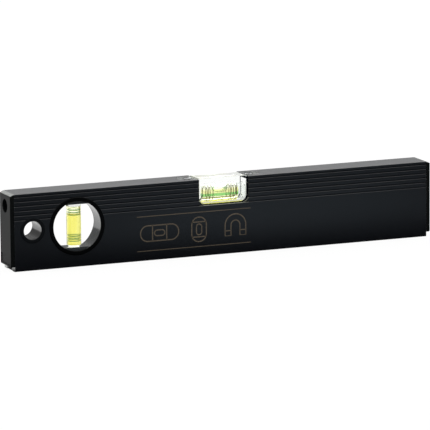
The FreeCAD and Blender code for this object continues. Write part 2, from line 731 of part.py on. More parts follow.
def stand(body):
    """Turn a piece of the plumb vial upright and put it on the window's axis."""
    place(body, window_x, dim.tube_inset - half_thickness, dim.window_rise, turn=((0, 1, 0), -90))


def make_plumb_vial_tube():
    body = new_body("plumb_vial_tube")
    wall = new_sketch(body, "XZ_Plane", "wall")
    outline(wall, rectangle(-tube_half, tube_half, ZERO, dim.tube_radius))
    spin(body, "Revolution", wall, "tube", "H_Axis")
    chamber = new_sketch(body, "XZ_Plane", "chamber")
    barrel(chamber, tube_low, tube_high, dim.tube_chamber_radius, dim.tube_sagitta, tube_span)
    spin(body, "Groove", chamber, "chamber_cut", "H_Axis")
    mouth = new_sketch(body, "XZ_Plane", "plug_bore")
    outline(mouth, rectangle(-tube_half - dim.overshoot, tube_low, ZERO, tube_plug_radius))
    spin(body, "Groove", mouth, "plug_bore_cut", "H_Axis")
    rings = new_sketch(body, "XZ_Plane", "ring_seats")
    ring_section(rings, TUBE_RINGS, dim.tube_chamber_radius, TUBE_BEND, -dim.ring_depth)
    spin(body, "Groove", rings, "ring_seat_cut", "H_Axis")
    stand(body)
    return body


def make_plumb_vial_liquid():
    body = new_body("plumb_vial_liquid")
    fill = new_sketch(body, "XZ_Plane", "fill")
    barrel(fill, tube_low, tube_high, dim.tube_chamber_radius, dim.tube_sagitta, tube_span)
    spin(body, "Revolution", fill, "liquid", "H_Axis")
    bubble = new_sketch(body, "XZ_Plane", "bubble")
    surface = tube_high - dim.tube_bubble
    top = tube_high + dim.overshoot
    side = tube_plug_radius - dim.tube_film
    outline(bubble, [
        (surface, ZERO),
        (top, ZERO),
        (top, side),
        (surface, side, dim.tube_meniscus),
    ])
    spin(body, "Groove", bubble, "bubble_cut", "H_Axis")
    stand(body)
    return body


def make_strip(label, wide, high, middle):
    """A plain strip along the base channel, as long as the bar."""
    strip = doc.addObject("Part::Box", label)
    strip.Label = label
    length = bar_length - dim.strip_gap * 2
    bind(strip, "Length", length)
    bind(strip, "Width", wide)
    bind(strip, "Height", high)
    place(strip, -length / 2, middle - wide / 2, dim.base_sink)
    return strip


parts = [
    make_body_extrusion(),
    make_end_cap("end_cap_left", -1),
    make_end_cap("end_cap_right", 1),
    make_main_vial_block(),
    make_main_vial_liquid(),
]

main_rings = make_rings("main_vial_lines", MAIN_RINGS, dim.chamber_radius, MAIN_BEND)
place(main_rings, z=chamber_z)
main_plug = make_plug(
    "main_vial_plug",
    chamber_right,
    block_length / 2,
    dim.chamber_radius - dim.chamber_sagitta,
)
place(main_plug, z=chamber_z)
parts += [main_rings, main_plug]
parts += [make_vial_screw("vial_screw_left", -1), make_vial_screw("vial_screw_right", 1)]

plumb_front = make_front_ring(
    "plumb_frame_front", window_x, dim.window_rise,
    dim.window_radius, dim.window_liner, dim.window_flange, dim.window_depth,
)
add_vial_seats(plumb_front)
plumb_rear = make_rear_ring(
    "plumb_frame_rear", window_x, dim.window_rise, dim.window_radius, rear_window_depth,
    dim.window_mouth, dim.window_sleeve, dim.window_rear_flange, dim.window_floor,
)
parts += [plumb_front, plumb_rear, make_plumb_vial_tube(), make_plumb_vial_liquid()]

tube_rings = make_rings("plumb_vial_lines", TUBE_RINGS, dim.tube_chamber_radius, TUBE_BEND)
stand(tube_rings)
tube_plug = make_plug("plumb_vial_plug", -tube_half, tube_low, tube_plug_radius)
stand(tube_plug)
parts += [tube_rings, tube_plug]

parts += [
    make_front_ring(
        "hang_bush_front", hang_x, dim.hang_rise,
        dim.hang_radius, dim.hang_liner, dim.hang_flange, dim.hang_depth,
    ),
    make_rear_ring(
        "hang_bush_rear", hang_x, dim.hang_rise, dim.hang_radius, rear_hang_depth,
        dim.hang_mouth, dim.hang_sleeve, dim.hang_rear_flange, dim.hang_floor,
    ),
]

pole_height = dim.channel_depth - dim.base_sink - dim.strip_gap
pole_middle = dim.channel_width / 2 - dim.strip_gap - dim.pole_thickness / 2
magnet_width = dim.channel_width - (dim.strip_gap * 2 + dim.pole_thickness) * 2
parts += [
    make_strip("magnet_strip", magnet_width, dim.magnet_height, ZERO),
    make_strip("pole_strip_front", dim.pole_thickness, pole_height, -pole_middle),
    make_strip("pole_strip_rear", dim.pole_thickness, pole_height, pole_middle),
]

doc.recompute()
for item in doc.Objects:
    if "Invalid" in item.State or "Error" in item.State:
        raise RuntimeError(f"{item.Name} failed: {item.State}")
for part in parts:
    if part.Shape.isNull() or not part.Shape.isValid():
        raise RuntimeError(f"{part.Label} has no valid shape")

os.makedirs("parts", exist_ok=True)
for part in parts:
    part.Shape.exportStep(f"parts/{part.Label}.step")
    print(part.Label, len(part.Shape.Solids), "solid", round(part.Shape.Volume, 1), "mm3")
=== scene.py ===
import json
import math

import bpy
import numpy as np
from mathutils import Matrix, Vector


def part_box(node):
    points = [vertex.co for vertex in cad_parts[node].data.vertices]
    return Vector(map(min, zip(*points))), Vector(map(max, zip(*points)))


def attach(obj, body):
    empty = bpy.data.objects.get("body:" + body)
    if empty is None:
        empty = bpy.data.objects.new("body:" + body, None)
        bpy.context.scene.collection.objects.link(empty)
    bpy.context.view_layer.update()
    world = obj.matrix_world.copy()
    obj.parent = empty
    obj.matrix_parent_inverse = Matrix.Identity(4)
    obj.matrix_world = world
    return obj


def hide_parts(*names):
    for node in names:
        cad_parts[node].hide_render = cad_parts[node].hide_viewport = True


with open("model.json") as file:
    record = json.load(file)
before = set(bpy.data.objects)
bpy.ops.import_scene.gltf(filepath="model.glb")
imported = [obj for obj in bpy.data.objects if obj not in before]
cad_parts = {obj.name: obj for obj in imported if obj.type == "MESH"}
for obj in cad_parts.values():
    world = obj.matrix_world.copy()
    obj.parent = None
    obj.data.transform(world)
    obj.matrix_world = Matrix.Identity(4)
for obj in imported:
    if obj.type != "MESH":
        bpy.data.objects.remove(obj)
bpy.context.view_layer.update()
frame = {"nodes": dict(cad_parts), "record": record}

# metres in a millimetre; sizes in the dictionaries are in millimetres, unless a comment says metres
mm = 0.001
white = (1.0, 1.0, 1.0, 1.0)
cadNodes = frame["nodes"]


def boxOf(node):
    # lowest and highest corner of a CAD node, as arrays in millimetres
    low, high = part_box(node)
    return np.array(low) / mm, np.array(high) / mm


def hexColour(text):
    # sRGB to linear: below 0.04045 a twelfth, above it ((c + 0.055) / 1.055) to the power 2.4
    parts = np.array([int(text[start:start + 2], 16) / 255 for start in (1, 3, 5)])
    linear = np.where(parts <= 0.04045, parts / 12.92, ((parts + 0.055) / 1.055) ** 2.4)
    return tuple(float(part) for part in linear) + (1.0,)


def perLength(size):
    # pattern scale whose features are this many millimetres across
    return 1 / (size * mm)


def addNode(tree, kind, settings=None, links=None):
    # a node with its properties and input values set, and its inputs linked from other nodes' outputs
    node = tree.nodes.new(kind)
    for key, value in (settings or {}).items():
        if isinstance(key, str) and hasattr(node, key):
            setattr(node, key, value)
        else:
            node.inputs[key].default_value = value
    for key, source in (links or {}).items():
        tree.links.new(source, node.inputs[key])
    return node


# Surfaces: each is a grid of points, rows along the shape and columns round it


def ringGrid(profile, columns):
    # turned shape about the X axis: a row for each (along, radius) pair, y = r cos a and z = r sin a
    along, radius = np.asarray(profile, float).T
    angle = np.linspace(0, 2 * math.pi, columns, endpoint=False)
    points = np.empty((len(along), columns, 3))
    points[..., 0] = along[:, None]
    points[..., 1] = radius[:, None] * np.cos(angle)
    points[..., 2] = radius[:, None] * np.sin(angle)
    return points


def gridFaces(rows, columns, start=0, inward=False, loop=False):
    # quads between neighbouring rows; columns always close, and rows close when loop is set
    row = np.arange(rows if loop else rows - 1)[:, None]
    column = np.arange(columns)[None, :]
    rowNext = (row + 1) % rows
    columnNext = (column + 1) % columns
    corners = [row * columns + column, row * columns + columnNext]
    corners += [rowNext * columns + columnNext, rowNext * columns + column]
    quads = np.stack([np.broadcast_to(c, (row.size, columns)) for c in corners], -1).reshape(-1, 4)
    return (quads[:, ::-1] if inward else quads) + start


def fuseSame(points, faces):
    # one vertex for all points that coincide, so that poles and seams are closed
    apart = 0.0001 * mm
    keys = np.round(points / apart).astype(np.int64)
    first, inverse = np.unique(keys, axis=0, return_index=True, return_inverse=True)[1:]
    inverse = inverse.reshape(-1)
    kept = []
    for face in inverse[faces].tolist():
        corners = [c for place, c in enumerate(face) if c != face[place - 1]]
        if len(corners) > 2:
            kept.append(corners)
    return points[first], kept


def buildPiece(name, grids, material, stands=(), loops=(), inward=(), sharp=40):
    # one object from several grids of points in millimetres, which rides on the body;
    # it is shaded smooth where its faces meet at less than the sharp angle in degrees
    points = []
    faces = []
    start = 0
    for number, grid in enumerate(grids):
        rows, columns = grid.shape[:2]
        points.append(grid.reshape(-1, 3) * mm)
        faces.append(gridFaces(rows, columns, start, number in inward, number in loops))
        start += rows * columns
    fusedPoints, fusedFaces = fuseSame(np.concatenate(points), np.concatenate(faces))
    mesh = bpy.data.meshes.new(name)
    mesh.from_pydata(fusedPoints.tolist(), [], fusedFaces)
    mesh.shade_smooth()
    mesh.set_sharp_from_angle(angle=math.radians(sharp))
    mesh.materials.append(material)
    piece = bpy.data.objects.new(name, mesh)
    bpy.context.scene.collection.objects.link(piece)
    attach(piece, "root")
    if stands:
        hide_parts(*stands)
    return piece


# Materials


def startMaterial(name):
    # an empty material, its tree, and the object's own coordinates for the patterns
    material = bpy.data.materials.new(name)
    material.use_nodes = True
    tree = material.node_tree
    tree.nodes.clear()
    return material, tree, addNode(tree, "ShaderNodeTexCoord").outputs["Object"]


def endMaterial(tree, surface, volume=None):
    links = {"Surface": surface.outputs[0]}
    if volume:
        links["Volume"] = volume.outputs[0]
    addNode(tree, "ShaderNodeOutputMaterial", links=links)


def splitPlace(tree, place):
    # distance from the bar's middle along it, distance from its middle plane, and height, in metres
    apart = addNode(tree, "ShaderNodeSeparateXYZ", links={"Vector": place})
    reach = addNode(tree, "ShaderNodeMath", {"operation": "ABSOLUTE"}, {0: apart.outputs["X"]})
    depth = addNode(tree, "ShaderNodeMath", {"operation": "ABSOLUTE"}, {0: apart.outputs["Y"]})
    return {"reach": reach.outputs[0], "depth": depth.outputs[0], "height": apart.outputs["Z"]}


def allOf(tree, limits):
    # one where every source is on its side of its limit in millimetres, and nought elsewhere
    result = None
    for source, operation, limit in limits:
        test = addNode(tree, "ShaderNodeMath", {"operation": operation, 1: limit * mm}, {0: source})
        if result:
            test = addNode(tree, "ShaderNodeMath", {"operation": "MULTIPLY"}, {
                0: result.outputs[0], 1: test.outputs[0],
            })
        result = test
    return result


def makeBlackAnodised():
    # aluminium extrusion, etched matt, dyed black and sealed: a soft sheen with faint draw lines along it;
    # bright metal shows where it was sawn or had its edges broken after dyeing;
    # painted shade: the notch's walls lose their sheen, and grooves and rounded corners lose half of it
    look = {
        "dye": "#070b13", "dyeLight": "#0b111b", "metal": "#e2e4e2", "edgeMetal": "#77786c",
        "roughness": 0.36, "smoother": 0.05, "rougher": 0.07, "metalRoughness": 0.34,
        "coat": 0.85, "coatRoughness": 0.37, "ior": 1.5, "relief": 0.35, "reliefDepth": 0.012,
        "drawLine": 0.35, "drawLength": 45.0, "etchGrain": 0.18, "cloud": 30.0,
        "sawn": 0.02, "edge": 0.3, "edgeSpare": 0.06, "hair": 0.004, "sideGap": 0.5, "footGap": 0.25,
        "groove": 0.45, "grooveShadeShare": 0.5,
    }
    material, tree, place = startMaterial("blackAnodisedAluminium")
    stretch = addNode(tree, "ShaderNodeMapping", {
        "Scale": tuple(perLength(look[key]) for key in ("drawLength", "drawLine", "drawLine")),
    }, {"Vector": place})
    lines = addNode(tree, "ShaderNodeTexNoise", {"Scale": 1.0, "Detail": 3.0}, {"Vector": stretch.outputs[0]})
    grain = addNode(tree, "ShaderNodeTexNoise", {
        "Scale": perLength(look["etchGrain"]), "Detail": 2.0,
    }, {"Vector": place})
    cloud = addNode(tree, "ShaderNodeTexNoise", {
        "Scale": perLength(look["cloud"]), "Detail": 2.0,
    }, {"Vector": place})
    dye = addNode(tree, "ShaderNodeMix", {
        "data_type": "RGBA", 6: hexColour(look["dye"]), 7: hexColour(look["dyeLight"]),
    }, {0: cloud.outputs["Fac"]})
    rough = addNode(tree, "ShaderNodeMapRange", {
        "To Min": look["roughness"] - look["smoother"], "To Max": look["roughness"] + look["rougher"],
    }, {"Value": lines.outputs["Fac"]})
    relief = addNode(tree, "ShaderNodeMath", {"operation": "ADD"}, {
        0: lines.outputs["Fac"], 1: grain.outputs["Fac"],
    })
    bump = addNode(tree, "ShaderNodeBump", {
        "Strength": look["relief"], "Distance": look["reliefDepth"] * mm,
    }, {"Height": relief.outputs[0]})
    sheen = addNode(tree, "ShaderNodeBsdfPrincipled", {
        "IOR": look["ior"], "Coat Weight": look["coat"], "Coat Roughness": look["coatRoughness"],
    }, {"Base Color": dye.outputs[2], "Roughness": rough.outputs[0], "Normal": bump.outputs[0]})
    paintedShadeSurface = addNode(tree, "ShaderNodeBsdfDiffuse", links={"Color": dye.outputs[2]})
    # the places: sawn ends, broken edges round the notch, and painted shade on the notch's walls and on
    # grooves with corners
    barHigh = boxOf("body_extrusion")[1]
    wall = boxOf("main_vial_plug")[1][0] + look["sideGap"]
    foot = boxOf("main_vial_block")[0][2] - look["footGap"]
    at = splitPlace(tree, place)
    sawn = allOf(tree, [(at["reach"], "GREATER_THAN", barHigh[0] - look["sawn"])])
    edge = allOf(tree, [
        (at["depth"], "LESS_THAN", barHigh[1] - look["hair"]),
        (at["depth"], "GREATER_THAN", barHigh[1] - look["edge"] + look["hair"]),
        (at["reach"], "LESS_THAN", wall + look["edge"] + look["edgeSpare"]),
        (at["height"], "GREATER_THAN", foot - look["edge"] - look["edgeSpare"]),
    ])
    # painted shade: inside the notch the sheen gives way to plain dark
    notch = allOf(tree, [
        (at["depth"], "LESS_THAN", barHigh[1] - look["edge"] + look["hair"]),
        (at["reach"], "LESS_THAN", wall + look["edgeSpare"]),
        (at["height"], "GREATER_THAN", foot - look["edgeSpare"]),
    ])
    # painted shade: near the face but not on it, in grooves and rounded corners, half the sheen gives way to
    # plain dark
    groove = allOf(tree, [
        (at["depth"], "LESS_THAN", barHigh[1] - look["hair"]),
        (at["depth"], "GREATER_THAN", barHigh[1] - look["groove"]),
    ])
    paintedGrooveShade = addNode(tree, "ShaderNodeMath", {"operation": "MULTIPLY", 1: look["grooveShadeShare"]}, {
        0: groove.outputs[0],
    })
    paintedShadeShare = addNode(tree, "ShaderNodeMath", {"operation": "MAXIMUM"}, {
        0: notch.outputs[0], 1: paintedGrooveShade.outputs[0],
    })
    black = addNode(tree, "ShaderNodeMixShader", links={
        0: paintedShadeShare.outputs[0], 1: sheen.outputs[0], 2: paintedShadeSurface.outputs[0],
    })
    bright = addNode(tree, "ShaderNodeMath", {"operation": "MAXIMUM"}, {
        0: sawn.outputs[0], 1: edge.outputs[0],
    })
    bare = addNode(tree, "ShaderNodeMix", {
        "data_type": "RGBA", 6: hexColour(look["metal"]), 7: hexColour(look["edgeMetal"]),
    }, {0: edge.outputs[0]})
    metal = addNode(tree, "ShaderNodeBsdfPrincipled", {
        "Metallic": 1.0, "Roughness": look["metalRoughness"],
    }, {"Base Color": bare.outputs[2], "Normal": bump.outputs[0]})
    both = addNode(tree, "ShaderNodeMixShader", links={
        0: bright.outputs[0], 1: black.outputs[0], 2: metal.outputs[0],
    })
    endMaterial(tree, both)
    return material


def makeMouldedPlastic(name, look):
    # moulded ABS: an even colour with a fine spark-eroded grain from the mould;
    # a piece with a flange has that face left matt and darker, and the bore behind it polished;
    # where asked, a painted highlight turns its upward-facing top pale grey above a given height
    mould = {
        "spread": 0.05, "reliefDepth": 0.02, "ior": 1.53, "coatRoughness": 0.2,
        "slopeFrom": 0.6, "slopeFull": 0.85, "flangeRoughness": 0.42, "flangeSpecular": 0.12,
    }
    material, tree, place = startMaterial(name)
    grain = addNode(tree, "ShaderNodeTexNoise", {
        "Scale": perLength(look["grain"]), "Detail": 3.0,
    }, {"Vector": place})
    cloud = addNode(tree, "ShaderNodeTexNoise", {
        "Scale": perLength(look["cloud"]), "Detail": 2.0,
    }, {"Vector": place})
    tone = addNode(tree, "ShaderNodeMix", {
        "data_type": "RGBA", 6: hexColour(look["dark"]), 7: hexColour(look["light"]),
    }, {0: cloud.outputs["Fac"]})
    # painted highlight: faces that look up, high on the piece, are mixed towards pale grey
    if "paintedTopLight" in look:
        facing = addNode(tree, "ShaderNodeNewGeometry").outputs["Normal"]
        upward = addNode(tree, "ShaderNodeSeparateXYZ", links={"Vector": facing})
        sloped = addNode(tree, "ShaderNodeMapRange", {1: mould["slopeFrom"], 2: mould["slopeFull"]}, {
            "Value": upward.outputs["Z"],
        })
        high = allOf(tree, [(splitPlace(tree, place)["height"], "GREATER_THAN", look["paintedTopFrom"])])
        paintedTopShare = addNode(tree, "ShaderNodeMath", {"operation": "MULTIPLY"}, {
            0: sloped.outputs[0], 1: high.outputs[0],
        })
        tone = addNode(tree, "ShaderNodeMix", {"data_type": "RGBA", 7: hexColour(look["paintedTopLight"])}, {
            0: paintedTopShare.outputs[0], 6: tone.outputs[2],
        })
    rough = addNode(tree, "ShaderNodeMapRange", {
        "To Min": look["roughness"] - mould["spread"], "To Max": look["roughness"] + mould["spread"],
    }, {"Value": grain.outputs["Fac"]})
    bump = addNode(tree, "ShaderNodeBump", {
        "Strength": look["relief"], "Distance": mould["reliefDepth"] * mm,
    }, {"Height": grain.outputs["Fac"]})
    plastic = addNode(tree, "ShaderNodeBsdfPrincipled", {
        "IOR": mould["ior"], "Specular IOR Level": look["specular"],
        "Coat Weight": look["coat"], "Coat Roughness": mould["coatRoughness"],
    }, {"Base Color": tone.outputs[2], "Roughness": rough.outputs[0], "Normal": bump.outputs[0]})
    if "flangeFrom" in look:
        outside = allOf(tree, [(splitPlace(tree, place)["depth"], "GREATER_THAN", look["flangeFrom"])])
        matt = addNode(tree, "ShaderNodeBsdfPrincipled", {
            "Base Color": hexColour(look["flange"]), "Roughness": mould["flangeRoughness"],
            "IOR": mould["ior"], "Specular IOR Level": mould["flangeSpecular"],
        }, {"Normal": bump.outputs[0]})
        plastic = addNode(tree, "ShaderNodeMixShader", links={
            0: outside.outputs[0], 1: plastic.outputs[0], 2: matt.outputs[0],
        })
    endMaterial(tree, plastic)
    return material


def makeCastAcrylic():
    # cast acrylic, polished: clear, with the faintest waviness left by the polishing wheel;
    # a painted glow comes out at its top edge, most at grazing angles, and a painted reflection tints its
    # floor the spirit's yellow
    look = {
        "clear": "#fbfdfb", "paintedReflection": "#f0ec50", "paintedGlow": 1.5, "ior": 1.49,
        "wave": 6.0, "relief": 0.1, "reliefDepth": 0.01,
        "topFrom": 50.9, "floorTo": 35.0, "floorBlend": 0.5, "reach": 16.6,
    }
    material, tree, place = startMaterial("castAcrylic")
    wave = addNode(tree, "ShaderNodeTexNoise", {
        "Scale": perLength(look["wave"]), "Detail": 1.0,
    }, {"Vector": place})
    bump = addNode(tree, "ShaderNodeBump", {
        "Strength": look["relief"], "Distance": look["reliefDepth"] * mm,
    }, {"Height": wave.outputs["Fac"]})
    at = splitPlace(tree, place)
    within = (at["reach"], "LESS_THAN", look["reach"])
    middle = allOf(tree, [within])
    # painted reflection: low in the block, near its middle, the colour turns the spirit's yellow
    low = addNode(tree, "ShaderNodeMapRange", {
        1: (look["floorTo"] - look["floorBlend"]) * mm, 2: look["floorTo"] * mm, 3: 1.0, 4: 0.0,
    }, {"Value": at["height"]})
    foot = addNode(tree, "ShaderNodeMath", {"operation": "MULTIPLY"}, {
        0: low.outputs[0], 1: middle.outputs[0],
    })
    tint = addNode(tree, "ShaderNodeMix", {
        "data_type": "RGBA", 6: hexColour(look["clear"]), 7: hexColour(look["paintedReflection"]),
    }, {0: foot.outputs[0]})
    # painted glow: the top within the middle emits white, most at grazing angles
    top = allOf(tree, [(at["height"], "GREATER_THAN", look["topFrom"]), within])
    grazing = addNode(tree, "ShaderNodeFresnel", {"IOR": look["ior"]})
    paintedGlow = addNode(tree, "ShaderNodeMath", {"operation": "MULTIPLY"}, {
        0: top.outputs[0], 1: grazing.outputs[0],
    })
    paintedGlow = addNode(tree, "ShaderNodeMath", {"operation": "MULTIPLY", 1: look["paintedGlow"]}, {0: paintedGlow.outputs[0]})
    acrylic = addNode(tree, "ShaderNodeBsdfPrincipled", {
        "Roughness": 0.0, "IOR": look["ior"], "Transmission Weight": 1.0, "Emission Color": white,
    }, {"Base Color": tint.outputs[2], "Emission Strength": paintedGlow.outputs[0], "Normal": bump.outputs[0]})
    endMaterial(tree, acrylic)
    return material


def makeMilkyPlastic():
    # moulded polypropylene, undyed: milky white and partly clear, with a painted glow in its own colour
    look = {
        "dark": "#f0f0ea", "light": "#fbfbf6", "cloud": 2.0, "relief": 0.1, "reliefDepth": 0.02,
        "through": 0.5, "roughness": 0.35, "paintedGlow": 0.5, "ior": 1.49,
    }
    material, tree, place = startMaterial("milkyPolypropylene")
    cloud = addNode(tree, "ShaderNodeTexNoise", {
        "Scale": perLength(look["cloud"]), "Detail": 2.0,
    }, {"Vector": place})
    tone = addNode(tree, "ShaderNodeMix", {
        "data_type": "RGBA", 6: hexColour(look["dark"]), 7: hexColour(look["light"]),
    }, {0: cloud.outputs["Fac"]})
    bump = addNode(tree, "ShaderNodeBump", {
        "Strength": look["relief"], "Distance": look["reliefDepth"] * mm,
    }, {"Height": cloud.outputs["Fac"]})
    milky = addNode(tree, "ShaderNodeBsdfPrincipled", {
        "IOR": look["ior"], "Transmission Weight": look["through"], "Roughness": look["roughness"],
        "Emission Strength": look["paintedGlow"],
    }, {"Base Color": tone.outputs[2], "Emission Color": tone.outputs[2], "Normal": bump.outputs[0]})
    endMaterial(tree, milky)
    return material


def makePadPrint():
    # pad-printed lacquer: a thin matt film, a little broken where the etched metal shows through
    look = {
        "ink": "#857763", "inkThin": "#62594c", "patch": 0.8,
        "roughness": 0.55, "relief": 0.2, "reliefDepth": 0.01,
    }
    material, tree, place = startMaterial("padPrintLacquer")
    patch = addNode(tree, "ShaderNodeTexNoise", {
        "Scale": perLength(look["patch"]), "Detail": 3.0,
    }, {"Vector": place})
    tone = addNode(tree, "ShaderNodeMix", {
        "data_type": "RGBA", 6: hexColour(look["ink"]), 7: hexColour(look["inkThin"]),
    }, {0: patch.outputs["Fac"]})
    bump = addNode(tree, "ShaderNodeBump", {
        "Strength": look["relief"], "Distance": look["reliefDepth"] * mm,
    }, {"Height": patch.outputs["Fac"]})
    lacquer = addNode(tree, "ShaderNodeBsdfPrincipled", {"Roughness": look["roughness"]}, {
        "Base Color": tone.outputs[2], "Normal": bump.outputs[0],
    })
    endMaterial(tree, lacquer)
    return material


def paintedLightBands(tree, place, look):
    # painted light and shade in a vial that lies down: bands by height tint the spirit on the side that faces
    # front, yellow at the foot, green along the middle, and a grey line of painted shade near the top
    apart = addNode(tree, "ShaderNodeSeparateXYZ", links={"Vector": place})
    height = addNode(tree, "ShaderNodeMapRange", {
        1: look["paintedBandFoot"] * mm, 2: look["paintedBandTop"] * mm,
    }, {"Value": apart.outputs["Z"]})
    bands = addNode(tree, "ShaderNodeValToRGB", links={"Fac": height.outputs[0]})
    ramp = bands.color_ramp
    while len(ramp.elements) < len(look["bands"]):
        ramp.elements.new(0.5)
    for stop, (share, colour) in zip(ramp.elements, look["bands"]):
        stop.position = share
        stop.color = hexColour(colour)
    front = addNode(tree, "ShaderNodeMath", {"operation": "LESS_THAN", 1: 0.0}, {0: apart.outputs["Y"]})
    return addNode(tree, "ShaderNodeMix", {"data_type": "RGBA", 6: white}, {
        0: front.outputs[0], 7: bands.outputs["Color"],
    }).outputs[2]


def paintedBubbleGlow(tree, place, look, tint):
    # colour and strength of the painted glow: the bubble's surface, known by its distance from the vial's
    # axis, glows pale in the middle and green towards its ends
    bubble = look["bubble"]
    axis = (0, 0, bubble["axis"] * mm)
    away = addNode(tree, "ShaderNodeVectorMath", {"operation": "SUBTRACT", 1: axis}, {0: place})
    away = addNode(tree, "ShaderNodeVectorMath", {"operation": "MULTIPLY", 1: (0, 1, 1)}, {
        0: away.outputs[0],
    })
    away = addNode(tree, "ShaderNodeVectorMath", {"operation": "LENGTH"}, {0: away.outputs[0]})
    at = splitPlace(tree, place)
    inside = allOf(tree, [
        (away.outputs["Value"], "LESS_THAN", bubble["radius"]),
        (at["reach"], "LESS_THAN", bubble["reach"]),
    ])
    ends = addNode(tree, "ShaderNodeMapRange", {
        1: bubble["endsFrom"] * mm, 2: bubble["endsTo"] * mm,
    }, {"Value": at["reach"]})
    tone = addNode(tree, "ShaderNodeMix", {
        "data_type": "RGBA", 6: hexColour(bubble["middle"]), 7: hexColour(bubble["ends"]),
    }, {0: ends.outputs[0]})
    tone = addNode(tree, "ShaderNodeMix", {"data_type": "RGBA"}, {
        0: inside.outputs[0], 6: tint, 7: tone.outputs[2],
    })
    strength = addNode(tree, "ShaderNodeMix", {2: look["strength"], 3: bubble["strength"]}, {
        0: inside.outputs[0],
    })
    return tone.outputs[2], strength.outputs[0]


def makeVialSpirit(name, look):
    # spirit with a fluorescent dye: it takes the blue out of what passes through, and a painted yellow-green
    # glow stands in for its fluorescence
    material, tree, place = startMaterial(name)
    swirl = addNode(tree, "ShaderNodeTexNoise", {
        "Scale": perLength(look["swirl"]), "Detail": 1.0,
    }, {"Vector": place})
    tint = addNode(tree, "ShaderNodeMix", {
        "data_type": "RGBA", 6: hexColour(look["paintedGlow"]), 7: hexColour(look["paintedGlowDeep"]),
    }, {0: swirl.outputs["Fac"]})
    links = {"Emission Color": tint.outputs[2]}
    # painted light and shade bands, and a painted glow on the bubble
    if "bands" in look:
        links["Base Color"] = paintedLightBands(tree, place, look)
    if "bubble" in look:
        paintedGlow, strength = paintedBubbleGlow(tree, place, look, tint.outputs[2])
        links["Emission Color"] = paintedGlow
        links["Emission Strength"] = strength
    spirit = addNode(tree, "ShaderNodeBsdfPrincipled", {
        "Base Color": white, "Roughness": 0.0, "IOR": look["ior"], "Transmission Weight": 1.0,
        "Emission Strength": look["strength"],
    }, links)
    dye = addNode(tree, "ShaderNodeVolumeAbsorption", {
        "Color": hexColour(look["passes"]), "Density": look["density"],
    })
    endMaterial(tree, spirit, dye)
    return material


def makeRingInk(name, look):
    # dark lacquer lines on the vial's wall, with a painted glow that stands in for the dye's light on them
    film = {"patch": 1.5, "roughness": 0.45}
    material, tree, place = startMaterial(name)
    patch = addNode(tree, "ShaderNodeTexNoise", {
        "Scale": perLength(film["patch"]), "Detail": 2.0,
    }, {"Vector": place})
    tone = addNode(tree, "ShaderNodeMix", {
        "data_type": "RGBA", 6: hexColour(look["dark"]), 7: hexColour(look["light"]),
    }, {0: patch.outputs["Fac"]})
    lacquer = addNode(tree, "ShaderNodeBsdfPrincipled", {
        "Roughness": film["roughness"], "Emission Color": hexColour(look["lit"]),
        "Emission Strength": look["strength"],
    }, {"Base Color": tone.outputs[2]})
    endMaterial(tree, lacquer)
    return material


def makeSteel(name, look):
    # rolled or plated steel: a grey metal with fine scratches, of these lengths along X, Y and Z
    wear = {"spread": 0.08, "relief": 0.3, "reliefDepth": 0.01}
    material, tree, place = startMaterial(name)
    stretch = addNode(tree, "ShaderNodeMapping", {
        "Scale": tuple(perLength(size) for size in look["scratch"]),
    }, {"Vector": place})
    scratch = addNode(tree, "ShaderNodeTexNoise", {"Scale": 1.0, "Detail": 4.0}, {
        "Vector": stretch.outputs[0],
    })
    tone = addNode(tree, "ShaderNodeMix", {
        "data_type": "RGBA", 6: hexColour(look["dark"]), 7: hexColour(look["light"]),
    }, {0: scratch.outputs["Fac"]})
    rough = addNode(tree, "ShaderNodeMapRange", {
        "To Min": look["roughness"] - wear["spread"], "To Max": look["roughness"] + wear["spread"],
    }, {"Value": scratch.outputs["Fac"]})
    bump = addNode(tree, "ShaderNodeBump", {
        "Strength": wear["relief"], "Distance": wear["reliefDepth"] * mm,
    }, {"Height": scratch.outputs["Fac"]})
    steel = addNode(tree, "ShaderNodeBsdfPrincipled", {"Metallic": 1.0}, {
        "Base Color": tone.outputs[2], "Roughness": rough.outputs[0], "Normal": bump.outputs[0],
    })
    endMaterial(tree, steel)
    return material


castAcrylic = makeCastAcrylic()
# each lit colour is a painted glow on the lines
mainInk = makeRingInk("brownLineLacquer", {
    "dark": "#2c2c08", "light": "#4a2c0c", "lit": "#a87828", "strength": 0.12,
})
plumbInk = makeRingInk("greenLineLacquer", {
    "dark": "#0a5a18", "light": "#1c6a1c", "lit": "#30c840", "strength": 0.22,
})
mainSpirit = makeVialSpirit("spiritPaleGreen", {
    # the glow colours and strength are a painted glow
    "paintedGlow": "#f0ff90", "paintedGlowDeep": "#d8f880", "swirl": 8.0, "strength": 0.03,
    "passes": "#f8f8c8", "density": 60.0, "ior": 1.36,
    # painted light and shade: the bands' heights and colours
    "paintedBandFoot": 34.8, "paintedBandTop": 46.6,
    "bands": [
        (0.0, "#f4ee50"), (0.04, "#f4ee60"), (0.08, "#fdfbe6"), (0.29, "#f8f8cc"), (0.34, "#58b850"),
        (0.46, "#58b850"), (0.52, "#f4f2a4"), (0.66, "#f8f4b0"), (0.80, "#ffffff"),
        (0.955, "#ffffff"), (0.985, "#a8acb0"),
    ],
    # painted glow on the bubble's surface
    "bubble": {
        "axis": 40.7, "radius": 5.2, "reach": 6.0, "endsFrom": 3.4, "endsTo": 5.4,
        "middle": "#d0d8cc", "ends": "#6cc468", "strength": 0.35,
    },
})
plumbSpirit = makeVialSpirit("spiritYellow", {
    "paintedGlow": "#fcf468", "paintedGlowDeep": "#f4f060", "swirl": 8.0, "strength": 0.08,
    "passes": "#f8f490", "density": 320.0, "ior": 1.36,
})
